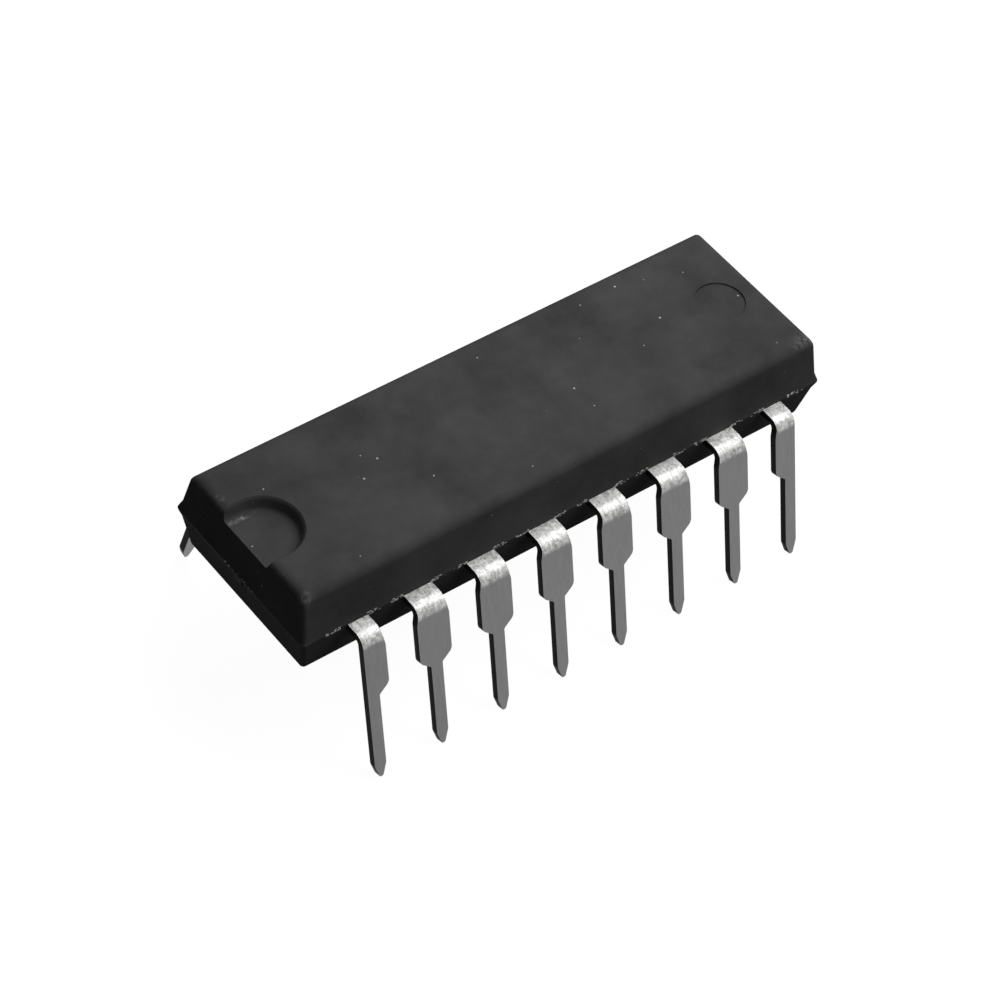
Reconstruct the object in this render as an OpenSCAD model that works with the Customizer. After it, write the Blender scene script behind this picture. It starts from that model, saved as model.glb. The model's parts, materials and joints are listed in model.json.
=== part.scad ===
// Dual in-line integrated circuit in a moulded plastic package, 16 leads.
// Origin: under the middle of the package, in the plane of the lead tips.
// +X runs along the package away from the index notch, +Z is up, and the
// row of leads 1 to 8 is on the -Y side. All sizes are in millimetres.

/* [Lead rows] */
// Distance between neighbouring leads
pitch = 2.54; // [2.4:0.02:2.7]
// Height of the parting plane, which is the leads' upper face, over the tips
parting_z = 5.7; // [5.0:0.05:6.5]

/* [Moulded body] */
// Length of body beyond the middle of the last lead, at each end
end_overhang = 2.01; // [1.6:0.05:2.4]
// Width of the body at its parting rim
body_w = 7.1; // [6.6:0.1:7.6]
// Height of the upper mould half
upper_h = 1.83; // [1.5:0.05:2.2]
// Depth of the lower mould half
lower_h = 1.72; // [1.4:0.05:2.0]
// Draft of the long sides of the upper half, from the vertical
side_draft = 12; // [6:0.5:16]
// Draft of the two ends of the upper half, from the vertical
end_draft = 4; // [1:0.5:12]
// Draft all round the lower half, from the vertical
lower_draft = 11; // [5:0.5:16]
// How far the parting rim stands out from the drafted walls
rim_out = 0.12; // [0.06:0.02:0.16]
// Height of the parting rim above and below the parting plane
rim_h = 0.34; // [0.2:0.02:0.5]
// Radius of the soft edges round the top face
top_edge_r = 0.38; // [0.2:0.02:0.6]
// Radius of the edges round the underside
bottom_edge_r = 0.15; // [0.08:0.01:0.3]

/* [Index notch and ejector marks] */
// Radius of the index notch at the top face
notch_r = 1.3; // [1.0:0.05:1.5]
// Depth of the index notch below the top face
notch_depth = 0.42; // [0.3:0.02:0.6]
// Distance from the body's end to the centre of the notch
notch_inset = 0.88; // [0.6:0.02:1.2]
// How much narrower the notch floor is than its mouth, on the radius
notch_draft = 0.12; // [0.05:0.01:0.2]
// Radius of the round marks that the ejector pins leave
ejector_r = 0.9; // [0.6:0.05:1.1]
// Depth of the ejector-pin marks
ejector_depth = 0.06; // [0.03:0.01:0.1]
// Distance from the body's end to the centre of each ejector-pin mark
ejector_inset = 1.86; // [1.5:0.02:2.2]

/* [Leads] */
// Thickness of the lead-frame strip
strip_t = 0.27; // [0.22:0.01:0.34]
// Width of a lead where it leaves the body and through its bend
exit_w = 1.12; // [0.9:0.02:1.2]
// Width of the wide part below the bend
wide_w = 1.28; // [1.2:0.02:1.5]
// Width of the narrow leg that goes into the board
narrow_w = 0.46; // [0.38:0.02:0.56]
// Flat stub between the body and the start of the bend
stub_l = 0.4; // [0.3:0.02:0.6]
// Radius on the inside of the bend
bend_r = 0.2; // [0.15:0.01:0.3]
// How far the legs lean outwards from the vertical
splay = 14.5; // [5:0.5:18]
// Length over which the lead flares to its full width, from within the bend
flare_l = 0.42; // [0.3:0.02:0.7]
// Length of leg from the bend to the start of the shoulder
wide_l = 1.8; // [1.4:0.02:2.1]
// Length of the sloped shoulder
shoulder_l = 0.32; // [0.24:0.02:0.6]
// Length of the pointed end of each leg
tip_l = 0.5; // [0.35:0.05:0.7]
// Width of the blunt end of each point
tip_w = 0.14; // [0.1:0.02:0.2]

/* [Lead frame inside the body] */
// Length of the die paddle
paddle_l = 4.4; // [3.8:0.1:4.8]
// Width of the die paddle
paddle_w = 2.9; // [2.5:0.1:3.1]
// How far the paddle is pressed down below the leads
paddle_drop = 0.2; // [0.1:0.02:0.28]
// Width of the tie bars that hold the paddle to the frame
tie_w = 0.4; // [0.3:0.02:0.46]
// Gap between the paddle and the fingers
frame_gap = 0.3; // [0.24:0.02:0.4]
// Gap between neighbouring strips beside a tie bar
lane_gap = 0.2; // [0.16:0.01:0.22]
// Width of a lead finger at its inner end
finger_w = 0.36; // [0.3:0.02:0.4]
// Depth inside the body over which a lead keeps its full width
root_l = 0.62; // [0.5:0.02:0.75]
// Radius of the hole that locks each corner lead in the moulding
lock_hole_r = 0.22; // [0.15:0.01:0.26]

/* [Die and wires] */
// Length of the silicon die
die_l = 2.1; // [1.6:0.1:2.6]
// Width of the silicon die
die_w = 1.7; // [1.4:0.1:2.0]
// Thickness of the silicon die
die_t = 0.3; // [0.2:0.02:0.36]
// Thickness of the die-attach layer
attach_t = 0.03; // [0.02:0.01:0.05]
// How far the die-attach paste creeps out round the die
attach_creep = 0.08; // [0.04:0.01:0.12]
// Diameter of the bond wire
wire_d = 0.034; // [0.025:0.001:0.05]
// Height of a wire loop over the die
loop_h = 0.3; // [0.2:0.02:0.4]
// Distance of the bond pads from the edge of the die
pad_inset = 0.16; // [0.12:0.01:0.22]

/* [Hidden] */
leads_per_row = 8;
lead_count = 2*leads_per_row;
body_l = (leads_per_row - 1)*pitch + 2*end_overhang;
top_z = parting_z + upper_h;
underside_z = parting_z - lower_h;
half_l = body_l/2;
half_w = body_w/2;

// The bend and the leaning leg, seen from the end of the package
outer_bend_r = bend_r + strip_t;
bend_start_y = half_w + stub_l;
bend_centre_z = parting_z - outer_bend_r;
leg_l = (bend_centre_z + bend_r*sin(splay))/cos(splay);

// The lead frame's levels
paddle_z = parting_z - paddle_drop;
die_z = paddle_z + attach_t;
die_top_z = die_z + die_t;
// A tie bar runs level beyond the paddle, then climbs to the leads' level
tie_level_run = 0.25;
tie_climb_run = 0.35;
tie_step_x = paddle_l/2 + tie_level_run;

// Rounded corners of a leg's flat pattern, and the steps in each arc
shoulder_r = 0.3;
neck_r = 0.1;
flare_r = 0.3;
point_r = 0.4;
tip_r = 0.07;
arc_steps = 5;
// Height at which the flare starts, over the line where the leg begins
flare_start = 0.85*bend_r;

// Fingers: strip widths at the root and the knee, and the runs between knees
root_w = 0.8;
// Length over which a finger lies inside its root
root_lap = 0.1;
knee_w = 0.6;
side_knee = 0.22;
inner_knee = 0.35;
inner_run = 0.9;
outer_knee = 0.8;
tip_run = 0.35;
// Places of the fingers beside the paddle, as shares of the paddle's length
side_tip_share = [0.18, 0.44];
root_y = half_w - root_l;
side_tip_y = paddle_w/2 + frame_gap;
end_tip_x = paddle_l/2 + frame_gap;
lane_1_y = tie_w/2 + lane_gap + finger_w/2;
lane_2_y = lane_1_y + finger_w + lane_gap;
// Centre of a locking hole: in from the root, and in from the lead's middle
lock_hole_in = 0.25;
lock_hole_across = 0.12;

// Bond pads: shares of the die's length on its sides, of its width at its ends
side_pad_share = [0.14, 0.36];
end_pad_share = [0.25, 0.08];
wire_sides = 6;
ball_r = 1.3*wire_d;
ball_h = 0.7*wire_d;
// Distance of a wire's stitch from the end of the finger
stitch_in = 0.2;

// Margin by which a cutter passes through a surface
over = 0.5;

function two_digits(i) = i < 10 ? str("0", i) : str(i);
function lead_name(i) = str("lead_", two_digits(i));
function wire_name(i) = str("bond_wire_", two_digits(i));

function unit(v) = v/norm(v);

// An outline whose corners [x, y, radius] are rounded with arcs. A corner that
// hardly turns stays a point.
straight = 0.01;
function corner_arc(a, b, c) =
    let (
        p = [b[0], b[1]],
        u = unit([a[0], a[1]] - p),
        v = unit([c[0], c[1]] - p),
        half = acos(max(-1, min(1, u*v)))/2,
        centre = p + unit(u + v)*b[2]/sin(half),
        run = b[2]/tan(half),
        turn = 180 - 2*half,
        from = p + u*run - centre,
        to = p + v*run - centre)
    turn < straight ? [p] :
    [for (k = [0:arc_steps])
        centre + (sin(turn*(1 - k/arc_steps))*from + sin(turn*k/arc_steps)*to)/sin(turn)];
function rounded(points) =
    let (n = len(points))
    [for (i = [0:n - 1])
        let (b = points[i])
        each b[2] > 0
            ? corner_arc(points[(i + n - 1)%n], b, points[(i + 1)%n])
            : [[b[0], b[1]]]];

// The outline of a strip that follows a path of [x, y, width] points
function path_normal(path, i) =
    let (
        p = [path[i][0], path[i][1]],
        before = i > 0 ? unit(p - [path[i - 1][0], path[i - 1][1]]) : undef,
        after = i < len(path) - 1 ? unit([path[i + 1][0], path[i + 1][1]] - p) : undef,
        d1 = is_undef(before) ? after : before,
        d2 = is_undef(after) ? before : after,
        mid = unit(d1 + d2))
    [-mid[1], mid[0]]/max(0.5, mid*d1);
function strip_outline(path) = concat(
    [for (i = [0:len(path) - 1])
        [path[i][0], path[i][1]] + path_normal(path, i)*path[i][2]/2],
    [for (i = [len(path) - 1:-1:0])
        [path[i][0], path[i][1]] - path_normal(path, i)*path[i][2]/2]);

// Lead numbers run along the near side and back along the far side.
// Column 0 is at the notch, and side is -1 on the near side, 1 on the far one.
function lead_column(i) = i <= leads_per_row ? i - 1 : lead_count - i;
function lead_side(i) = i <= leads_per_row ? -1 : 1;
function lead_x(i) = (lead_column(i) - (leads_per_row - 1)/2)*pitch;
// Place of a lead counted from the middle of its row: 1 is next to the middle
function lead_rank(i) = round(abs(lead_x(i))/pitch + 0.5);
function lead_end(i) = lead_x(i) < 0 ? -1 : 1;
function is_corner(i) = lead_rank(i) == leads_per_row/2;

// Path of a finger from the body's side in to the paddle, for the corner of
// the package where x and y are positive: [x, y, width of strip]
function side_tip_x(rank) = side_tip_share[rank - 1]*paddle_l;
function finger_path(rank, x) =
    let (root = [x, root_y + root_lap, root_w])
    rank <= 2 ? [root, [x, root_y - side_knee, knee_w],
                 [side_tip_x(rank), side_tip_y + tip_run, finger_w],
                 [side_tip_x(rank), side_tip_y, finger_w]] :
    rank == 3 ? [root, [x, root_y - inner_knee, knee_w],
                 [end_tip_x + inner_run, lane_2_y, finger_w],
                 [end_tip_x, lane_2_y, finger_w]] :
                [root, [x, lane_1_y + outer_knee, knee_w],
                 [x - outer_knee, lane_1_y, finger_w],
                 [end_tip_x, lane_1_y, finger_w]];

// The two ends of a wire: on the finger, and on the die
function finger_bond(rank, x) =
    let (
        path = finger_path(rank, x),
        tip = [path[3][0], path[3][1]],
        knee = [path[2][0], path[2][1]])
    tip + unit(knee - tip)*stitch_in;
function die_pad(rank) =
    rank <= 2 ? [die_l*side_pad_share[rank - 1], die_w/2 - pad_inset]
              : [die_l/2 - pad_inset, die_w*end_pad_share[rank - 3]];

// Flat pattern of the bend and leg: x across, y up the leg to past the bend
function flat_pattern(outer_w) =
    let (
        e = exit_w/2,
        w = wide_w/2,
        n = narrow_w/2,
        top = 2*outer_bend_r,
        neck = wide_l + shoulder_l,
        left_e = min(e, outer_w),
        left_w = min(w, outer_w))
    rounded(concat(
        [[e, top, 0],
         [e, flare_start, flare_r],
         [w, flare_start - flare_l, flare_r],
         [w, -wide_l, shoulder_r],
         [n, -neck, neck_r],
         [n, -(leg_l - tip_l), point_r],
         [tip_w/2, -leg_l, tip_r],
         [-tip_w/2, -leg_l, tip_r],
         [-n, -(leg_l - tip_l), point_r]],
        left_w > n
            ? [[-n, -neck, neck_r],
               [-left_w, -wide_l, shoulder_r],
               [-left_w, flare_start - flare_l, flare_r],
               [-left_e, flare_start, flare_r],
               [-left_e, top, 0]]
            : [[-n, top, 0]]));

// Section through the formed strip, in the leg's frame: a ring and a straight leg
module strip_section() {
    difference() {
        circle(r = outer_bend_r, $fn = 64);
        circle(r = bend_r, $fn = 48);
        translate([-2*outer_bend_r, -2*outer_bend_r])
            square([4*outer_bend_r, 2*outer_bend_r]);
    }
    translate([bend_r, -leg_l - over])
        square([strip_t, leg_l + over]);
}

// The bend and the leg that leans out from it, for the far side and a corner
// lead whose plain edge faces -x: the section, cut to the flat pattern
module bend_and_leg(outer_w) {
    reach = outer_bend_r + leg_l;
    intersection() {
        translate([-wide_w, bend_start_y, -over])
            cube([2*wide_w, reach, parting_z + 2*over]);
        translate([0, bend_start_y, bend_centre_z])
            rotate([splay, 0, 0])
                intersection() {
                    translate([-wide_w, 0, 0])
                        rotate([90, 0, 90])
                            linear_extrude(2*wide_w)
                                strip_section();
                    translate([0, 2*outer_bend_r, 0])
                        rotate([90, 0, 0])
                            linear_extrude(3*outer_bend_r)
                                polygon(flat_pattern(outer_w));
                }
    }
}

// The whole formed strip: the flat root and stub, the bend and the leg
module formed_lead(outer_w) {
    edge = min(exit_w/2, outer_w);
    translate([-edge, bend_start_y, parting_z - strip_t])
        mirror([0, 1, 0])
            cube([edge + exit_w/2, stub_l + root_l, strip_t]);
    bend_and_leg(outer_w);
}

// A whole lead at the far side, in the corner where x is positive
module lead_shape(rank, x, corner) {
    mirror([corner ? 1 : 0, 0, 0])
        translate([corner ? -x : x, 0, 0])
            formed_lead(corner ? narrow_w/2 : wide_w/2);
    difference() {
        translate([0, 0, parting_z - strip_t])
            linear_extrude(strip_t)
                polygon(strip_outline(finger_path(rank, x)));
        if (corner)
            translate([x - lock_hole_across, root_y - lock_hole_in, parting_z - 2*strip_t])
                cylinder(r = lock_hole_r, h = 3*strip_t, $fn = 32);
    }
}

module lead(i) {
    color("silver")
        mirror([lead_end(i) < 0 ? 1 : 0, 0, 0])
            mirror([0, lead_side(i) < 0 ? 1 : 0, 0])
                lead_shape(lead_rank(i), abs(lead_x(i)), is_corner(i));
}

// Side view of the paddle and its tie bars: pressed down in the middle
module paddle_profile() {
    top = [[0, paddle_z], [tie_step_x, paddle_z],
           [tie_step_x + tie_climb_run, parting_z], [half_l, parting_z]];
    polygon(concat(
        top,
        [for (k = [len(top) - 1:-1:0]) top[k] - [0, strip_t]],
        [for (k = [1:len(top) - 1]) [-top[k][0], top[k][1] - strip_t]],
        [for (k = [len(top) - 1:-1:1]) [-top[k][0], top[k][1]]]));
}

module die_paddle() {
    color("silver")
        intersection() {
            translate([0, body_w/2, 0])
                rotate([90, 0, 0])
                    linear_extrude(body_w)
                        paddle_profile();
            translate([0, 0, underside_z])
                linear_extrude(lower_h + upper_h) {
                    square([paddle_l, paddle_w], center = true);
                    square([body_l, tie_w], center = true);
                }
        }
}

module die_attach() {
    color("lightgray")
        translate([0, 0, paddle_z + attach_t/2])
            cube([die_l + 2*attach_creep, die_w + 2*attach_creep, attach_t], center = true);
}

module silicon_die() {
    color("slategray")
        translate([0, 0, die_z + die_t/2])
            cube([die_l, die_w, die_t], center = true);
}

// A wire rises from its ball on the die, loops over and comes down to a
// stitch on the finger. Each ring is [share of the span, height, radius].
function wire_rings(drop) = [
    [0, 0, ball_r],
    [0, ball_h, ball_r],
    [0, 1.5*ball_h, wire_d/2],
    [0.01, 0.55*loop_h, wire_d/2],
    [0.05, 0.85*loop_h, wire_d/2],
    [0.13, loop_h, wire_d/2],
    [0.3, 0.97*loop_h, wire_d/2],
    [0.55, 0.72*loop_h - 0.22*drop, wire_d/2],
    [0.8, 0.3*loop_h - 0.6*drop, wire_d/2],
    [0.95, wire_d/2 - 0.97*drop, wire_d/2],
    [1, wire_d/4 - drop, wire_d/4]];

// Ring k of a wire as points, square to the wire's run at that point
function ring_points(rings, k, start, run) =
    let (
        n = len(rings),
        along = unit([run[0], run[1], 0]),
        across = cross([0, 0, 1], along),
        span = norm(run),
        here = rings[k],
        prev = rings[max(0, k - 1)],
        next = rings[min(n - 1, k + 1)],
        slope = k < 3 ? [0, 1] : unit([(next[0] - prev[0])*span, next[1] - prev[1]]),
        up = [along[0]*-slope[1], along[1]*-slope[1], slope[0]],
        centre = [start[0] + run[0]*here[0], start[1] + run[1]*here[0], start[2] + here[1]])
    [for (s = [0:wire_sides - 1])
        centre + here[2]*(cos(360*s/wire_sides)*across + sin(360*s/wire_sides)*up)];

module bond_wire(i) {
    rank = lead_rank(i);
    flip = [lead_end(i), lead_side(i)];
    pad = die_pad(rank);
    bond = finger_bond(rank, abs(lead_x(i)));
    start = [pad[0]*flip[0], pad[1]*flip[1], die_top_z];
    run = [bond[0]*flip[0] - start[0], bond[1]*flip[1] - start[1]];
    rings = wire_rings(die_top_z - parting_z);
    n = len(rings);
    points = [for (k = [0:n - 1]) each ring_points(rings, k, start, run)];
    color("gold")
        polyhedron(
            points,
            concat(
                [[for (s = [0:wire_sides - 1]) s]],
                [for (k = [0:n - 2]) for (s = [0:wire_sides - 1])
                    let (a = k*wire_sides + s, b = k*wire_sides + (s + 1)%wire_sides)
                    each [[a, a + wire_sides, b], [b, a + wire_sides, b + wire_sides]]],
                [[for (s = [wire_sides - 1:-1:0]) (n - 1)*wire_sides + s]]));
}

// Half of the section through the moulding: half is the distance from the
// middle to the rim, draft leans the walls. x is outwards, y is up.
function wall_section(half, draft) =
    let (
        lean_up = (upper_h - rim_h)*tan(draft),
        lean_down = (lower_h - rim_h)*tan(lower_draft))
    [[half - rim_out - lean_down, underside_z],
     [half - rim_out, parting_z - rim_h],
     [half, parting_z],
     [half - rim_out, parting_z + rim_h],
     [half - rim_out - lean_up, top_z]];

// Full section with rounded edges at the top and round the underside
module body_section(half, draft) {
    wall = wall_section(half, draft);
    difference() {
        polygon(concat(wall, [for (k = [4:-1:0]) [-wall[k][0], wall[k][1]]]));
        for (side = [-1, 1]) {
            edge_round(side, wall[4], draft, top_edge_r, 1);
            edge_round(side, wall[0], lower_draft, bottom_edge_r, -1);
        }
    }
}

// The sliver outside an edge that a radius takes away
module edge_round(side, corner, draft, r, up) {
    run = r*tan((90 - draft)/2);
    centre = [corner[0] - run, corner[1] - up*r];
    difference() {
        polygon([
            [side*centre[0], corner[1]],
            [side*centre[0], corner[1] + up*r],
            [side*(corner[0] + r), corner[1] + up*r],
            [side*(centre[0] + 3*r*cos(draft)), centre[1] + up*3*r*sin(draft)],
            [side*(centre[0] + r*cos(draft)), centre[1] + up*r*sin(draft)],
            [side*centre[0], centre[1] + up*0.5*r]]);
        translate([side*centre[0], centre[1]])
            circle(r = r, $fn = 96);
    }
}

// The moulding before its recesses: one section along the package meets one
// across it, which mitres the rim and the rounded edges at the corners
module body_blank() {
    intersection() {
        translate([-half_l - over, 0, 0])
            rotate([90, 0, 90])
                linear_extrude(body_l + 2*over)
                    body_section(half_w, side_draft);
        translate([0, half_w + over, 0])
            rotate([90, 0, 0])
                linear_extrude(body_w + 2*over)
                    body_section(half_l, end_draft);
    }
}

// Index notch: a drafted round end that runs straight out through the body's end
module index_notch() {
    x = -half_l + notch_inset;
    grow = notch_draft*over/notch_depth;
    translate([x, 0, top_z - notch_depth])
        cylinder(r1 = notch_r - notch_draft, r2 = notch_r + grow,
                 h = notch_depth + over, $fn = 96);
    translate([x, 0, top_z - notch_depth])
        rotate([0, -90, 0])
            linear_extrude(2*notch_inset)
                polygon([[0, notch_draft - notch_r], [0, notch_r - notch_draft],
                         [notch_depth + over, notch_r + grow],
                         [notch_depth + over, -notch_r - grow]]);
}

module ejector_mark(x, z) {
    translate([x, 0, z - ejector_depth])
        cylinder(r = ejector_r, h = 2*ejector_depth, $fn = 96);
}

module package_body() {
    color("#2b2b2b")
        difference() {
            body_blank();
            index_notch();
            ejector_mark(half_l - ejector_inset, top_z);
            for (end = [-1, 1])
                ejector_mark(end*(half_l - ejector_inset), underside_z);
            die_paddle();
            die_attach();
            silicon_die();
            for (i = [1:lead_count]) {
                lead(i);
                bond_wire(i);
            }
        }
}

package_body();
die_paddle();
die_attach();
silicon_die();
for (i = [1:lead_count]) {
    lead(i);
    bond_wire(i);
}
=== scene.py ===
"""Looks of a 16-lead dual in-line integrated circuit in a black moulded package."""
import json
import logging
import math
import random
from dataclasses import dataclass, field
from enum import Enum

import bmesh
import bpy
from mathutils import Euler, Matrix, Vector

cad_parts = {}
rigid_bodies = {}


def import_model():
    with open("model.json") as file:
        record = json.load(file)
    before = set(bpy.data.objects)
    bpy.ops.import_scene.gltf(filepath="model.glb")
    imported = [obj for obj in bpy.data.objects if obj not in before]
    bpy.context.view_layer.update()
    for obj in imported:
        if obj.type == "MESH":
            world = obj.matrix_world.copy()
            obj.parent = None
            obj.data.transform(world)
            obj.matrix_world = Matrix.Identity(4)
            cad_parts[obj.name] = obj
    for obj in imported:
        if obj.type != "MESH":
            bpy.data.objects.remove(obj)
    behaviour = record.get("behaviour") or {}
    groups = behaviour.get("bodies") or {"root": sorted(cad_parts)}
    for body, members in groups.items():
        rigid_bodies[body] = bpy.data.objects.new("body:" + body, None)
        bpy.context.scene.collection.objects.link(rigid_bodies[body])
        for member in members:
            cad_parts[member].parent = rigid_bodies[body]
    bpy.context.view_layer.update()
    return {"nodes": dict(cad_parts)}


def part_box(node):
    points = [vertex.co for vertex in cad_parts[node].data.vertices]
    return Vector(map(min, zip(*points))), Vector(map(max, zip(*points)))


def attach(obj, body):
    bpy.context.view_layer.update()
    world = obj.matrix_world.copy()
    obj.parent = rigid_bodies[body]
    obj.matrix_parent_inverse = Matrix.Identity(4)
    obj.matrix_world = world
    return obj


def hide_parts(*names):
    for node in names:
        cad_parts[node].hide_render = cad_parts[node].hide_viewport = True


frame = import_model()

MM = 0.001
BODY = "root"
SAME_MM = 0.0001
SLIVER_MM = 0.0004
LEAD_COUNT = 16
LEADS_PER_ROW = 8
LOG = logging.getLogger("chip")

# Sockets of a Mix node that mixes colours: its two inputs and its output.
MIX_FIRST, MIX_SECOND, MIX_RESULT = 6, 7, 2
# Most values of a noise lie between these two.
NOISE_LOW, NOISE_HIGH = 0.3, 0.7

Colour = tuple[float, float, float, float]
Span = tuple[float, float]


class Slot(Enum):
    """The record's material slots."""

    MOULD_COMPOUND = "mould_compound"
    PLATED_LEAD = "plated_lead"
    FRAME_STRIP = "frame_strip"
    DIE_ATTACH_PASTE = "die_attach_paste"
    SILICON = "silicon"
    GOLD_WIRE = "gold_wire"


def linear(hex_colour: str) -> Colour:
    """Turns an sRGB hex colour into the linear values that shaders take.

    Args:
        hex_colour: The colour as "#rrggbb".

    Returns:
        Red, green, blue and an alpha of 1.
    """
    channels = [int(hex_colour[k:k + 2], 16) / 255 for k in (1, 3, 5)]
    red, green, blue = [
        c / 12.92 if c <= 0.04045 else ((c + 0.055) / 1.055) ** 2.4 for c in channels
    ]
    return (red, green, blue, 1.0)


def per_size(size_mm: float) -> float:
    """Gives the texture scale at which a feature measures size_mm on the object."""
    return 1 / (size_mm * MM)


def add_node(tree: bpy.types.NodeTree, kind: str, settings: dict, inputs: dict) -> bpy.types.Node:
    """Adds one node with its settings and its links.

    Args:
        tree: The node tree to add to.
        kind: The node's type name.
        settings: Values of the node's own properties.
        inputs: For each input, by name or number, a value or the socket to link from.

    Returns:
        The new node.
    """
    node = tree.nodes.new(kind)
    for name, value in settings.items():
        setattr(node, name, value)
    for key, value in inputs.items():
        if isinstance(value, bpy.types.NodeSocket):
            tree.links.new(value, node.inputs[key])
        else:
            node.inputs[key].default_value = value
    return node


def add_ramp(node: bpy.types.Node, stops: list[tuple[float, Colour]]) -> bpy.types.NodeSocket:
    """Sets a Color Ramp node's stops.

    Args:
        node: The Color Ramp node.
        stops: Position and colour of each stop, in order.

    Returns:
        The ramp's colour output.
    """
    elements = node.color_ramp.elements
    while len(elements) < len(stops):
        elements.new(0.5)
    for element, (position, colour) in zip(elements, stops):
        element.position = position
        element.color = colour
    return node.outputs["Color"]


def grey(level: float) -> Colour:
    """Gives a linear grey for masks and ramps."""
    return (level, level, level, 1.0)


def new_material(name: str) -> tuple[bpy.types.Material, bpy.types.NodeTree, bpy.types.NodeSocket]:
    """Starts a material that reads object coordinates.

    Args:
        name: What the material is.

    Returns:
        The material, its emptied node tree and the object-coordinate socket.
    """
    material = bpy.data.materials.new(name)
    material.use_nodes = True
    tree = material.node_tree
    tree.nodes.clear()
    coordinates = add_node(tree, "ShaderNodeTexCoord", {}, {})
    return material, tree, coordinates.outputs["Object"]


def close_material(tree: bpy.types.NodeTree, shader: bpy.types.Node) -> None:
    """Links a shader node to a material's output."""
    add_node(tree, "ShaderNodeOutputMaterial", {}, {"Surface": shader.outputs[0]})


@dataclass(frozen=True)
class Noise:
    """A noise pattern, by the real size of its largest features."""

    size_mm: float
    detail: float
    roughness: float


@dataclass(frozen=True)
class ScuffAndHighlight:
    """A pale patch on the compound, in millimetres: partly a scuff from handling, partly a painted
    highlight where a rounded corner or edge catches the light.
    """

    centre: tuple[float, float, float]
    reach: tuple[float, float, float]
    strength: float


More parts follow.
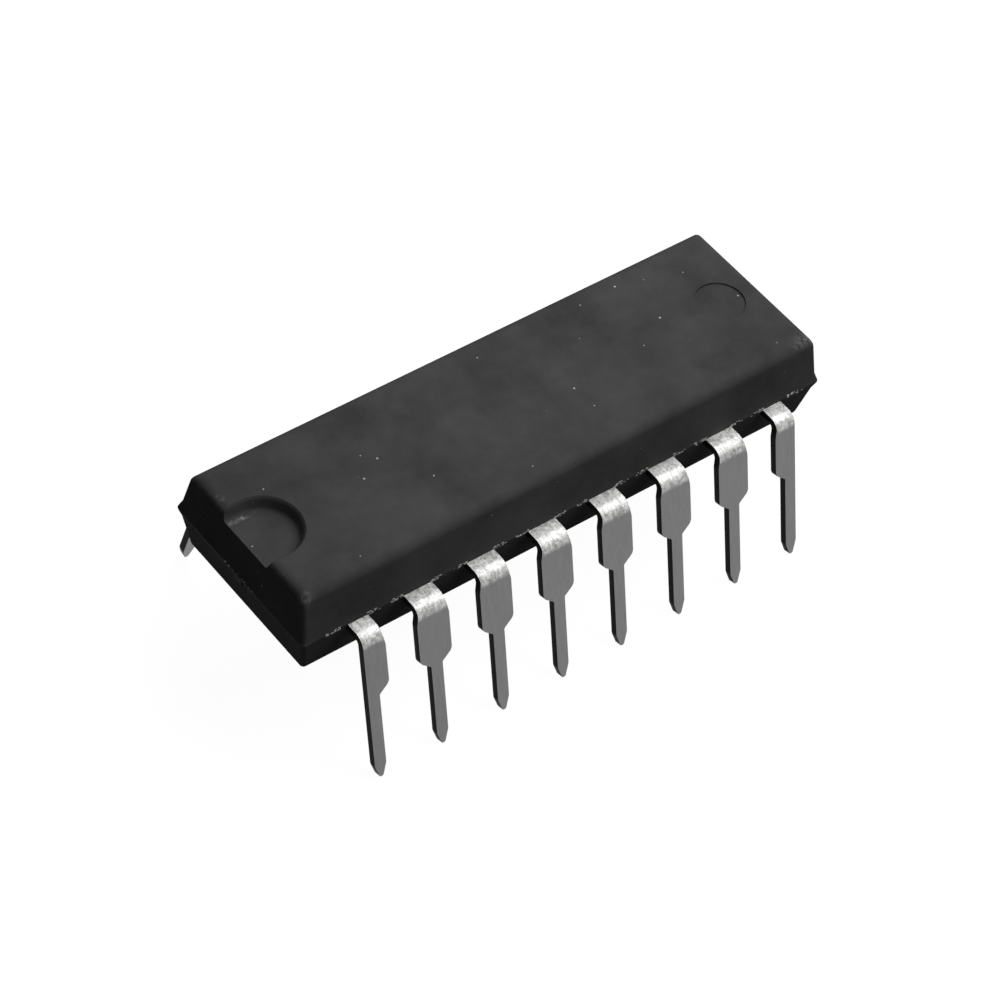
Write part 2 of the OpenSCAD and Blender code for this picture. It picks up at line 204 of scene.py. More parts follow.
@dataclass(frozen=True)
class MouldCompound:
    """Black silica-filled epoxy, transfer-moulded in an eroded steel cavity.

    To the eye: a dull near-black with a fine even grain, slow blotches, a few pale
    filler specks and shallow pits, and no clear reflections. The grain is drawn coarser
    than the real one, so that it shows. The radii of specks and pits are shares of their
    spacing, and the pits' depth is in heights of the grain.
    """

    dark: str = "#373737"
    light: str = "#484848"
    speck: str = "#9c9c9a"
    ior: float = 1.55
    specular_level: float = 0.0008
    roughness: float = 0.52
    roughness_fall: float = 0.05
    roughness_rise: float = 0.06
    blotch: Noise = Noise(3.4, 7.0, 0.66)
    blotch_ramp: Span = (0.34, 0.68)
    grain: Noise = Noise(0.07, 3.0, 0.6)
    grain_height_mm: float = 0.007
    bump_strength: float = 0.6
    speck_spacing_mm: float = 0.5
    speck_radius: float = 0.085
    speck_rarity: float = 0.42
    pit_spacing_mm: float = 1.6
    pit_radius: float = 0.05
    pit_depth: float = 3.0
    # Pale patches on the body's corners and edges, in this colour: partly scuffs from handling,
    # partly painted highlights where the rounded corners and the parting rim catch the light.
    scuff_and_highlight: str = "#868685"
    scuff_and_highlight_grain: Noise = Noise(0.16, 3.0, 0.6)
    scuff_and_highlight_broken: Span = (0.42, 0.64)
    scuff_and_highlight_core: float = 0.2
    # Where the pale patches lie: partly scuffs, partly painted highlights.
    scuffs_and_highlights: tuple[ScuffAndHighlight, ...] = (
        ScuffAndHighlight((-10.55, -3.05, 7.35), (0.45, 0.35, 0.5), 0.3),
        ScuffAndHighlight((-10.2, 0.98, 7.12), (0.8, 0.14, 0.1), 0.7),
        ScuffAndHighlight((-10.55, 1.75, 7.5), (0.3, 0.3, 0.2), 0.3),
        ScuffAndHighlight((10.35, -2.95, 7.45), (0.8, 0.4, 0.3), 0.28),
        ScuffAndHighlight((-10.8, -3.45, 5.68), (0.5, 0.3, 0.16), 0.3),
        ScuffAndHighlight((10.7, -3.3, 5.5), (0.5, 0.4, 0.2), 0.35),
    )

    def build(self) -> bpy.types.Material:
        """Makes the material.

        Returns:
            The material.
        """
        material, tree, place = new_material("black_epoxy_mould_compound")
        blotch = add_node(tree, "ShaderNodeTexNoise", {}, {
            "Vector": place, "Scale": per_size(self.blotch.size_mm),
            "Detail": self.blotch.detail, "Roughness": self.blotch.roughness})
        tone = add_ramp(add_node(tree, "ShaderNodeValToRGB", {}, {"Fac": blotch.outputs["Fac"]}), [
            (self.blotch_ramp[0], linear(self.dark)), (self.blotch_ramp[1], linear(self.light))])
        cells = add_node(tree, "ShaderNodeTexVoronoi", {"feature": "F1"}, {
            "Vector": place, "Scale": per_size(self.speck_spacing_mm)})
        chance = add_node(tree, "ShaderNodeSeparateColor", {}, {"Color": cells.outputs["Color"]})
        radius = add_node(tree, "ShaderNodeMath", {"operation": "MULTIPLY"}, {
            0: chance.outputs["Green"], 1: self.speck_radius})
        near = add_node(tree, "ShaderNodeMath", {"operation": "LESS_THAN"}, {
            0: cells.outputs["Distance"], 1: radius.outputs[0]})
        chosen = add_node(tree, "ShaderNodeMath", {"operation": "GREATER_THAN"}, {
            0: chance.outputs["Red"], 1: self.speck_rarity})
        speck = add_node(tree, "ShaderNodeMath", {"operation": "MULTIPLY"}, {
            0: near.outputs[0], 1: chosen.outputs[0]})
        speckled = add_node(tree, "ShaderNodeMix", {"data_type": "RGBA"}, {
            "Factor": speck.outputs[0], MIX_FIRST: tone, MIX_SECOND: linear(self.speck)})
        # Mixes in the pale patches: partly scuffs, partly painted highlights.
        colour = add_node(tree, "ShaderNodeMix", {"data_type": "RGBA"}, {
            "Factor": self.scuffed_and_highlit(tree, place), MIX_FIRST: speckled.outputs[MIX_RESULT],
            MIX_SECOND: linear(self.scuff_and_highlight)})
        pits = add_node(tree, "ShaderNodeTexVoronoi", {"feature": "F1"}, {
            "Vector": place, "Scale": per_size(self.pit_spacing_mm)})
        hollow = add_node(tree, "ShaderNodeMapRange", {}, {
            "Value": pits.outputs["Distance"], "From Min": 0.0, "From Max": self.pit_radius,
            "To Min": -self.pit_depth, "To Max": 0.0})
        grain = add_node(tree, "ShaderNodeTexNoise", {}, {
            "Vector": place, "Scale": per_size(self.grain.size_mm),
            "Detail": self.grain.detail, "Roughness": self.grain.roughness})
        height = add_node(tree, "ShaderNodeMath", {"operation": "ADD"}, {
            0: grain.outputs["Fac"], 1: hollow.outputs["Result"]})
        bump = add_node(tree, "ShaderNodeBump", {}, {
            "Height": height.outputs[0], "Strength": self.bump_strength,
            "Distance": self.grain_height_mm * MM})
        rough = add_node(tree, "ShaderNodeMapRange", {}, {
            "Value": blotch.outputs["Fac"], "From Min": NOISE_LOW, "From Max": NOISE_HIGH,
            "To Min": self.roughness - self.roughness_fall,
            "To Max": self.roughness + self.roughness_rise})
        shader = add_node(tree, "ShaderNodeBsdfPrincipled", {}, {
            "Base Color": colour.outputs[MIX_RESULT], "Roughness": rough.outputs["Result"],
            "IOR": self.ior, "Specular IOR Level": self.specular_level,
            "Normal": bump.outputs["Normal"]})
        close_material(tree, shader)
        return material

    def scuffed_and_highlit(self, tree: bpy.types.NodeTree,
               place: bpy.types.NodeSocket) -> bpy.types.NodeSocket:
        """Gives how far each point is painted pale, as scuff and as painted highlight, broken up by
        a fine noise.

        Args:
            tree: The material's node tree.
            place: The object coordinates.

        Returns:
            A factor from 0 to 1.
        """
        noise = add_node(tree, "ShaderNodeTexNoise", {}, {
            "Vector": place, "Scale": per_size(self.scuff_and_highlight_grain.size_mm),
            "Detail": self.scuff_and_highlight_grain.detail, "Roughness": self.scuff_and_highlight_grain.roughness})
        broken = add_node(tree, "ShaderNodeMapRange", {}, {
            "Value": noise.outputs["Fac"], "From Min": self.scuff_and_highlight_broken[0],
            "From Max": self.scuff_and_highlight_broken[1]})
        total = None
        for scuff_and_highlight in self.scuffs_and_highlights:
            centre = add_node(tree, "ShaderNodeVectorMath", {"operation": "SUBTRACT"}, {
                0: place, 1: Vector(scuff_and_highlight.centre) * MM})
            scaled = add_node(tree, "ShaderNodeVectorMath", {"operation": "DIVIDE"}, {
                0: centre.outputs[0], 1: Vector(scuff_and_highlight.reach) * MM})
            away = add_node(tree, "ShaderNodeVectorMath", {"operation": "LENGTH"}, {
                0: scaled.outputs[0]})
            inside = add_node(tree, "ShaderNodeMapRange", {"interpolation_type": "SMOOTHSTEP"}, {
                "Value": away.outputs["Value"], "From Min": 1.0, "From Max": self.scuff_and_highlight_core,
                "To Max": scuff_and_highlight.strength})
            total = inside.outputs["Result"] if total is None else add_node(
                tree, "ShaderNodeMath", {"operation": "ADD"}, {
                    0: total, 1: inside.outputs["Result"]}).outputs[0]
        return add_node(tree, "ShaderNodeMath", {"operation": "MULTIPLY", "use_clamp": True}, {
            0: total, 1: broken.outputs["Result"]}).outputs[0]


@dataclass(frozen=True)
class TinPlate:
    """Matt tin plate on stamped copper-alloy strip, formed in a steel tool.

    To the eye: dull mid-grey flats with faint drag lines down the leg; a bend that the tool
    has galled rough, whose top is coloured lighter, partly for the galling and partly as a
    painted highlight where it catches the light; rounded edges on the outer face coloured
    lighter as a painted highlight; and dark side and cut edges, partly bare metal where the
    die cut it and partly a painted dark reflection. The galling is drawn a little coarser
    than the real marks, so that it shows.
    """

    flat: str = "#717171"
    flat_light: str = "#787878"
    # Tones of the bend's top, lighter than the flats: partly galling, partly a painted highlight
    # where the bend catches the light.
    scored: str = "#7c7c7b"
    drawn: str = "#8e8e8d"
    burnished_highlight: str = "#a4a4a3"
    gall_highlight: str = "#c0c0be"
    # Lighter rounded edges on the outer face: a painted highlight where the edges catch the light.
    arris_highlight: str = "#a0a09f"
    # Dark side and cut edges: partly bare metal where the die cut it, partly a painted dark
    # reflection of a shaded surround. The grey on the next line dims their edge-on reflection, also
    # as painted dark reflection.
    sheared_dark_reflection: str = "#1c1b1b"
    sheared_dark_reflection_rim: float = 0.53
    roughness: float = 0.38
    roughness_fall: float = 0.06
    roughness_rise: float = 0.08
    bend_roughness: float = 0.5
    streak: Noise = Noise(0.09, 3.0, 0.55)
    streak_length_mm: float = 0.8
    streak_ramp: Span = (0.3, 0.72)
    streak_share: float = 0.45
    gall_grain: Noise = Noise(0.12, 4.0, 0.7)
    gall_distortion: float = 0.6
    bend_ramp: tuple[float, float, float, float] = (0.5, 0.62, 0.72, 0.88)
    # Heights over which the bend's top takes its lighter tones: partly galling, partly painted
    # highlight.
    burnish_highlight_top_mm: float = 5.5
    burnish_highlight_end_mm: float = 5.3
    burnish_highlight_ragged_mm: float = 0.14
    dent_mm: float = 0.009
    bump_strength: float = 0.6

    def build(self) -> bpy.types.Material:
        """Makes the material.

        Returns:
            The material.
        """
        material, tree, place = new_material("matt_tin_plated_strip")
        along = per_size(self.streak_length_mm)
        stretch = add_node(tree, "ShaderNodeMapping", {"vector_type": "POINT"}, {
            "Vector": place, "Scale": (per_size(self.streak.size_mm), along, along)})
        streak = add_node(tree, "ShaderNodeTexNoise", {}, {
            "Vector": stretch.outputs["Vector"], "Scale": 1.0,
            "Detail": self.streak.detail, "Roughness": self.streak.roughness})
        flat = add_ramp(add_node(tree, "ShaderNodeValToRGB", {}, {"Fac": streak.outputs["Fac"]}), [
            (self.streak_ramp[0], linear(self.flat)),
            (self.streak_ramp[1], linear(self.flat_light))])
        patch = add_node(tree, "ShaderNodeTexNoise", {}, {
            "Vector": place, "Scale": per_size(self.gall_grain.size_mm),
            "Detail": self.gall_grain.detail, "Roughness": self.gall_grain.roughness,
            "Distortion": self.gall_distortion})
        mixed = add_node(tree, "ShaderNodeMath", {"operation": "MULTIPLY_ADD"}, {
            0: streak.outputs["Fac"], 1: self.streak_share, 2: patch.outputs["Fac"]})
        # The bend's top is coloured lighter: partly galling, partly painted highlight.
        tones = (self.scored, self.drawn, self.burnished_highlight, self.gall_highlight)
        bright = add_ramp(
            add_node(tree, "ShaderNodeValToRGB", {}, {"Fac": mixed.outputs[0]}),
            [(position, linear(tone)) for position, tone in zip(self.bend_ramp, tones)])
        axes = add_node(tree, "ShaderNodeSeparateXYZ", {}, {"Vector": place})
        ragged = add_node(tree, "ShaderNodeMath", {"operation": "MULTIPLY_ADD"}, {
            0: patch.outputs["Fac"], 1: self.burnish_highlight_ragged_mm * MM, 2: axes.outputs["Z"]})
        bend = add_node(tree, "ShaderNodeMapRange", {"interpolation_type": "SMOOTHSTEP"}, {
            "Value": ragged.outputs[0], "From Min": self.burnish_highlight_end_mm * MM,
            "From Max": self.burnish_highlight_top_mm * MM})
        plate = add_node(tree, "ShaderNodeMix", {"data_type": "RGBA"}, {
            "Factor": bend.outputs["Result"], MIX_FIRST: flat, MIX_SECOND: bright})
        # Lightens the rounded edges on the outer face: painted highlight.
        arris_highlight = add_node(tree, "ShaderNodeAttribute", {"attribute_name": "arris_highlight"}, {})
        lined = add_node(tree, "ShaderNodeMix", {"data_type": "RGBA"}, {
            "Factor": arris_highlight.outputs["Fac"], MIX_FIRST: plate.outputs[MIX_RESULT],
            MIX_SECOND: linear(self.arris_highlight)})
        # Darkens the side and cut edges: partly bare metal, partly painted dark reflection.
        edge = add_node(tree, "ShaderNodeAttribute", {"attribute_name": "sheared_dark_reflection"}, {})
        colour = add_node(tree, "ShaderNodeMix", {"data_type": "RGBA"}, {
            "Factor": edge.outputs["Fac"], MIX_FIRST: lined.outputs[MIX_RESULT],
            MIX_SECOND: linear(self.sheared_dark_reflection)})
        rim = add_node(tree, "ShaderNodeMix", {"data_type": "RGBA"}, {
            "Factor": edge.outputs["Fac"], MIX_FIRST: grey(1.0),
            MIX_SECOND: grey(self.sheared_dark_reflection_rim)})
        bump = add_node(tree, "ShaderNodeBump", {}, {
            "Height": mixed.outputs[0], "Strength": self.bump_strength,
            "Distance": self.dent_mm * MM})
        rough = add_node(tree, "ShaderNodeMapRange", {}, {
            "Value": patch.outputs["Fac"], "From Min": NOISE_LOW, "From Max": NOISE_HIGH,
            "To Min": self.roughness - self.roughness_fall,
            "To Max": self.roughness + self.roughness_rise})
        rough_bend = add_node(tree, "ShaderNodeMath", {"operation": "MULTIPLY_ADD"}, {
            0: bend.outputs["Result"], 1: self.bend_roughness - self.roughness,
            2: rough.outputs["Result"]})
        shader = add_node(tree, "ShaderNodeBsdfPrincipled", {}, {
            "Base Color": colour.outputs[MIX_RESULT], "Metallic": 1.0,
            "Roughness": rough_bend.outputs[0], "Specular Tint": rim.outputs[MIX_RESULT],
            "Normal": bump.outputs["Normal"]})
        close_material(tree, shader)
        return material


@dataclass(frozen=True)
class PlainFinish:
    """A finish of one mottled colour, for the pieces sealed inside and the flash.

    Attributes:
        name: What the material is.
        dark: Darker colour of the mottling.
        light: Lighter colour of the mottling.
        mottle_mm: Size of the mottling.
        metallic: 1 for a metal.
        roughness: Roughness of the surface.
        ior: Index of refraction, of no account on a metal.
        grain_height_mm: Height of the surface grain.
        end: Colour beyond end_from_mm from the middle: painted shade that darkens the cut ends.
        end_from_mm: Where the painted shade on the cut ends begins.
        end_rim: Grey of a cut end seen edge-on, dimmed as painted shade.
        mottle_detail: Octaves of the mottling.
        mottle_roughness: Weight of its finer octaves.
        ramp: Where the mottling turns from dark to light.
        bump_strength: Strength of the grain.
    """

    name: str
    dark: str
    light: str
    mottle_mm: float
    metallic: float
    roughness: float
    ior: float = 1.5
    grain_height_mm: float = 0.002
    end: str = ""
    end_from_mm: float = 10.8
    end_rim: float = 0.5
    mottle_detail: float = 4.0
    mottle_roughness: float = 0.6
    ramp: Span = (0.35, 0.68)
    bump_strength: float = 0.5

    def build(self) -> bpy.types.Material:
        """Makes the material.

        Returns:
            The material.
        """
        material, tree, place = new_material(self.name)
        mottle = add_node(tree, "ShaderNodeTexNoise", {}, {
            "Vector": place, "Scale": per_size(self.mottle_mm),
            "Detail": self.mottle_detail, "Roughness": self.mottle_roughness})
        tone = add_ramp(add_node(tree, "ShaderNodeValToRGB", {}, {"Fac": mottle.outputs["Fac"]}), [
            (self.ramp[0], linear(self.dark)), (self.ramp[1], linear(self.light))])
        inputs = {"Metallic": self.metallic, "Roughness": self.roughness}
        # The cut ends beyond end_from_mm get a near-black colour and a dimmed reflection: painted
        # shade.
        if self.end:
            axes = add_node(tree, "ShaderNodeSeparateXYZ", {}, {"Vector": place})
            out = add_node(tree, "ShaderNodeMath", {"operation": "ABSOLUTE"}, {
                0: axes.outputs["X"]})
            cut_end = add_node(tree, "ShaderNodeMath", {"operation": "GREATER_THAN"}, {
                0: out.outputs[0], 1: self.end_from_mm * MM})
            tone = add_node(tree, "ShaderNodeMix", {"data_type": "RGBA"}, {
                "Factor": cut_end.outputs[0], MIX_FIRST: tone,
                MIX_SECOND: linear(self.end)}).outputs[MIX_RESULT]
            inputs["Specular Tint"] = add_node(tree, "ShaderNodeMix", {"data_type": "RGBA"}, {
                "Factor": cut_end.outputs[0], MIX_FIRST: grey(1.0),
                MIX_SECOND: grey(self.end_rim)}).outputs[MIX_RESULT]
        if not self.metallic:
            inputs["IOR"] = self.ior
        inputs["Base Color"] = tone
        inputs["Normal"] = add_node(tree, "ShaderNodeBump", {}, {
            "Height": mottle.outputs["Fac"], "Strength": self.bump_strength,
            "Distance": self.grain_height_mm * MM}).outputs["Normal"]
        close_material(tree, add_node(tree, "ShaderNodeBsdfPrincipled", {}, inputs))
        return material


# Silver-spotted copper alloy: a soft pinkish metal, a little dull from the oven, with
# painted shade that makes the tie bars' cut ends nearly black.
FRAME_STRIP = PlainFinish("silver_spotted_copper_alloy", "#a98268", "#c9c4bd", 0.6, 1.0, 0.38,
                          end="#1f1d1c")
# Cured silver-filled epoxy: a pale grey paste with a sandy surface.
DIE_ATTACH = PlainFinish("silver_filled_epoxy_paste", "#8b8a86", "#a9a8a3", 0.05, 0.0, 0.6)
# Passivated silicon: dark blue-grey and glassy.
SILICON = PlainFinish("passivated_silicon", "#2e3542", "#48505f", 0.12, 0.0, 0.12, 3.4, 0.0004)
# Drawn gold wire: warm yellow with a soft shine.
GOLD_WIRE = PlainFinish("drawn_gold_wire", "#d9a441", "#f0c867", 0.03, 1.0, 0.24)
# Thin resin flash: crumbs on the parting line, mottled dark to pale grey, the pale grey as painted
# glints.
FLASH_WITH_PAINTED_GLINTS = PlainFinish("resin_flash", "#474644", "#c2c1bd", 0.07, 0.0, 0.45)


def merged_copy(node: str) -> bmesh.types.BMesh:
    """Copies a CAD node's mesh with its loose triangles joined up.

    Args:
        node: The CAD node's name.

    Returns:
        The copy, a bmesh of joined triangles.
    """
    mesh = bmesh.new()
    mesh.from_mesh(frame["nodes"][node].data)
    bmesh.ops.remove_doubles(mesh, verts=mesh.verts, dist=SAME_MM * MM)
    return mesh


def to_data(name: str, mesh: bmesh.types.BMesh) -> bpy.types.Mesh:
    """Turns a bmesh into mesh data.

    Args:
        name: The data's name.
        mesh: The bmesh, which this function frees.

    Returns:
        The mesh data.
    """
    data = bpy.data.meshes.new(name)
    mesh.to_mesh(data)
    mesh.free()
    return data


def add_object(name: str, data: bpy.types.ID) -> bpy.types.Object:
    """Puts a mesh, lamp or camera in the scene as an object.

    Args:
        name: The object's name.
        data: What it shows.

    Returns:
        The object, at the origin.
    """
    thing = bpy.data.objects.new(name, data)
    bpy.context.scene.collection.objects.link(thing)
    return thing


def shade(data: bpy.types.Mesh, sharp_deg: float) -> None:
    """Shades a mesh smoothly, apart from edges that turn by more than sharp_deg."""
    data.shade_smooth()
    data.set_sharp_from_angle(angle=math.radians(sharp_deg))


def top_face(mesh: bmesh.types.BMesh) -> bmesh.types.BMFace:
    """Finds the highest face of a mesh."""
    return max(mesh.faces, key=lambda face: face.calc_center_median().z)


def raise_top(mesh: bmesh.types.BMesh, spread: tuple[float, float], rise: float,
              centre_x: float = 0.0) -> None:
    """Extrudes a mesh's highest face upwards and spreads it.

    Args:
        mesh: The mesh, in millimetres.
        spread: What the new face's x and y are scaled by.
        rise: How far it moves up.
        centre_x: The x about which it is scaled.
    """
    old = [top_face(mesh)]
    grown = bmesh.ops.extrude_face_region(mesh, geom=old)["geom"]
    bmesh.ops.delete(mesh, geom=old, context="FACES_ONLY")
    verts = [g for g in grown if isinstance(g, bmesh.types.BMVert)]
    bmesh.ops.scale(mesh, vec=(*spread, 1.0), verts=verts,
                    space=Matrix.Translation((-centre_x, 0.0, 0.0)))
    bmesh.ops.translate(mesh, vec=(0.0, 0.0, rise), verts=verts)


def finish_object(name: str, mesh: bmesh.types.BMesh, material: bpy.types.Material,
                  sharp_deg: float = 30.0) -> bpy.types.Object:
    """Turns a bmesh into a dressed piece that rides on the part.

    Args:
        name: The piece's name.
        mesh: Its mesh, which this function frees.
        material: Its material.
        sharp_deg: Edges that turn by more than this many degrees stay sharp.

    Returns:
        The new object.
    """
    data = to_data(name, mesh)
    data.materials.append(material)
    shade(data, sharp_deg)
    piece = add_object(name, data)
    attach(piece, BODY)
    return piece


def drop_slivers(mesh: bmesh.types.BMesh) -> None:
    """Merges away the slivers that cutting and rounding leave."""
    bmesh.ops.dissolve_degenerate(mesh, dist=SLIVER_MM * MM, edges=mesh.edges)


def flatten_shading(piece: bpy.types.Object) -> None:
    """Keeps flats flat to the eye, so that only the rounded edges shade smoothly."""
    weighted = piece.modifiers.new("weighted_normals", "WEIGHTED_NORMAL")
    weighted.keep_sharp = True


def apply_modifiers(piece: bpy.types.Object) -> None:
    """Replaces a piece's mesh with the result of its modifiers.

    Args:
        piece: The piece, which is left with no modifiers.
    """
    bpy.context.view_layer.update()
    graph = bpy.context.evaluated_depsgraph_get()
    result = bpy.data.meshes.new_from_object(piece.evaluated_get(graph), depsgraph=graph)
    piece.modifiers.clear()
    piece.data = result


def cut(piece: bpy.types.Object, cutter: bmesh.types.BMesh) -> None:
    """Takes a cutter's shape out of a piece.

    Args:
        piece: The object to cut.
        cutter: A closed mesh, which this function frees.
    """
    data = to_data("cutter", cutter)
    tool = add_object("cutter", data)
    modifier = piece.modifiers.new("cut", "BOOLEAN")
    modifier.operation = "DIFFERENCE"
    modifier.solver = "MANIFOLD"
    modifier.object = tool
    apply_modifiers(piece)
    bpy.data.objects.remove(tool)
    bpy.data.meshes.remove(data)


@dataclass
class MouldedBody:
    """The moulded package: drafted halves, parting rim, notch and ejector marks.

    Sizes are in millimetres and drafts in degrees. The outer box comes from the frame.
    The notch's flare and lip are in widths of its soft edge.
    """

    sharp_deg: float = 26.0
    ridge_rad: float = 0.2
    top_segments: int = 7
    bottom_segments: int = 4
    corner_segments: int = 4
    rim_segments: int = 2
    notch_segments: int = 4
    circle_segments: int = 96
    rim_out: float = 0.12
    rim_h: float = 0.34
    side_draft: float = 12.0
    end_draft: float = 4.0
    lower_draft: float = 11.0
    upper_h: float = 1.83
    top_edge_r: float = 0.38
    bottom_edge_r: float = 0.15
    corner_bevel: float = 0.13
    rim_bevel: float = 0.035
    notch_r: float = 1.3
    notch_depth: float = 0.42
    notch_soft: float = 0.09
    notch_inset: float = 0.88
    notch_draft: float = 0.12
    notch_flare: float = 3.0
    notch_lip: float = 2.0
    ejector_r: float = 0.9
    ejector_depth: float = 0.06
    ejector_inset: float = 1.86
    low: Vector = field(default_factory=lambda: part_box("package_body")[0] / MM)
    high: Vector = field(default_factory=lambda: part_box("package_body")[1] / MM)

    @property
    def parting_z(self) -> float:
        """Height of the parting plane."""
        return self.high.z - self.upper_h

    def build(self, material: bpy.types.Material) -> bpy.types.Object:
        """Models the body and puts it in the place of its CAD node.

        Args:
            material: The mould compound.

        Returns:
            The body.
        """
        mesh = self.blank()
        bmesh.ops.scale(mesh, vec=(MM, MM, MM), verts=mesh.verts)
        piece = finish_object("moulded_body", mesh, material)
        for cutter in self.recesses():
            bmesh.ops.scale(cutter, vec=(MM, MM, MM), verts=cutter.verts)
            cut(piece, cutter)
        for node in frame["nodes"]:
            if node != "package_body":
                cut(piece, merged_copy(node))
        whole = bmesh.new()
        whole.from_mesh(piece.data)
        drop_slivers(whole)
        whole.to_mesh(piece.data)
        whole.free()
        shade(piece.data, self.sharp_deg)
        flatten_shading(piece)
        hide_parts("package_body")
        LOG.info("moulded_body: %d faces", len(piece.data.polygons))
        return piece

    def levels(self) -> list[tuple[float, float, float]]:
        """Works out the body's section from the drafts.

        Returns:
            Half length, half width and height of each corner, from the bottom up.
        """
        lower_h = self.parting_z - self.low.z
        lean_down = (lower_h - self.rim_h) * math.tan(math.radians(self.lower_draft))
        rise = self.upper_h - self.rim_h
        lean_side = rise * math.tan(math.radians(self.side_draft))
        lean_end = rise * math.tan(math.radians(self.end_draft))
        steps = [
            (self.rim_out + lean_down, self.rim_out + lean_down, self.low.z),
            (self.rim_out, self.rim_out, self.parting_z - self.rim_h),
            (0.0, 0.0, self.parting_z),
            (self.rim_out, self.rim_out, self.parting_z + self.rim_h),
            (self.rim_out + lean_end, self.rim_out + lean_side, self.high.z),
        ]
        return [(self.high.x - x, self.high.y - y, z) for x, y, z in steps]

    def blank(self) -> bmesh.types.BMesh:
        """Models the body before its recesses.

        Returns:
            The body, in millimetres.
        """
        mesh = bmesh.new()
        levels = self.levels()
        bmesh.ops.create_cube(mesh, size=2.0)
        for vert in mesh.verts:
            half_x, half_y, z = levels[1 if vert.co.z > 0 else 0]
            vert.co = Vector((math.copysign(half_x, vert.co.x),
                              math.copysign(half_y, vert.co.y), z))
        for (half_x, half_y, z), (next_x, next_y, next_z) in zip(levels[1:], levels[2:]):
            raise_top(mesh, (next_x / half_x, next_y / half_y), next_z - z)
        bmesh.ops.recalc_face_normals(mesh, faces=mesh.faces)
        upper_draft = (self.side_draft + self.end_draft) / 2
        self.soften(mesh, self.edges_at(mesh, self.high.z),
                    self.setback(self.top_edge_r, upper_draft), self.top_segments)
        self.soften(mesh, self.edges_at(mesh, self.low.z),
                    self.setback(self.bottom_edge_r, self.lower_draft), self.bottom_segments)
        self.soften(mesh, self.corner_edges(mesh), self.corner_bevel, self.corner_segments)
        self.soften(mesh, self.edges_at(mesh, self.parting_z), self.rim_bevel, self.rim_segments)
        bmesh.ops.recalc_face_normals(mesh, faces=mesh.faces)
        return mesh

    def setback(self, radius: float, draft_deg: float) -> float:
        """Gives how far from an edge its rounding starts, where a drafted wall meets a flat."""
        return radius * math.tan(math.radians(90 - draft_deg) / 2)

    def edges_at(self, mesh: bmesh.types.BMesh, z: float) -> list[bmesh.types.BMEdge]:
        """Finds the edges at height z at which the surface turns."""
        return [e for e in mesh.edges if all(abs(v.co.z - z) < SAME_MM for v in e.verts)
                and e.calc_face_angle(0.0) > self.ridge_rad]

    def corner_edges(self, mesh: bmesh.types.BMesh) -> list[bmesh.types.BMEdge]:
        """Finds the mitre lines that climb the body's four corners.

        Args:
            mesh: The body.

        Returns:
            The rising edges that have an end of the body on one side and a flank on the other.
        """
        found = []
        for edge in mesh.edges:
            run = edge.verts[1].co - edge.verts[0].co
            if abs(run.z) < SAME_MM or len(edge.link_faces) != 2:
                continue
            first, second = (abs(f.normal.x) - abs(f.normal.y) for f in edge.link_faces)
            if first * second < 0:
                found.append(edge)
        return found

    def soften(self, mesh: bmesh.types.BMesh, edges: list[bmesh.types.BMEdge], offset: float,
               segments: int) -> None:
        """Rounds some edges."""
        bmesh.ops.bevel(mesh, geom=edges, offset=offset, offset_type="OFFSET", segments=segments,
                        profile=0.5, affect="EDGES", clamp_overlap=False, material=-1)

    def recesses(self) -> list[bmesh.types.BMesh]:
        """Models the cutters of the notch and the ejector-pin marks.

        Returns:
            The cutters, in millimetres.
        """
        cutters = [self.notch_cutter()]
        reach = self.high.x - self.ejector_inset
        for x, z in ((reach, self.high.z), (reach, self.low.z), (-reach, self.low.z)):
            mark = bmesh.new()
            bmesh.ops.create_cone(
                mark, cap_ends=True, segments=self.circle_segments, radius1=self.ejector_r,
                radius2=self.ejector_r, depth=2 * self.ejector_depth,
                matrix=Matrix.Translation((x, 0.0, z)))
            cutters.append(mark)
        return cutters

    def notch_cutter(self) -> bmesh.types.BMesh:
        """Models the notch's cutter: round inwards, straight out through the body's end.

        Returns:
            The cutter, in millimetres.
        """
        floor = self.high.z - self.notch_depth
        wall = self.notch_depth - self.notch_soft / 2
        centre = self.low.x + self.notch_inset
        mesh = bmesh.new()
        bmesh.ops.create_cone(
            mesh, cap_ends=True, segments=self.circle_segments,
            radius1=self.notch_r - self.notch_draft, radius2=self.notch_r, depth=wall,
            matrix=Matrix.Translation((centre, 0.0, floor + wall / 2)))
        flare = 1 + self.notch_flare * self.notch_soft / self.notch_r
        raise_top(mesh, (flare, flare), self.notch_lip * self.notch_soft, centre)
        rings = [e for e in mesh.edges if abs(e.verts[0].co.z - e.verts[1].co.z) < SAME_MM
                 and e.verts[0].co.z < floor + wall + SAME_MM]
        self.soften(mesh, rings, self.notch_soft, self.notch_segments)
        for vert in mesh.verts:
            if vert.co.x < centre - SAME_MM:
                vert.co.x -= 2 * self.notch_inset
        bmesh.ops.recalc_face_normals(mesh, faces=mesh.faces)
        return mesh


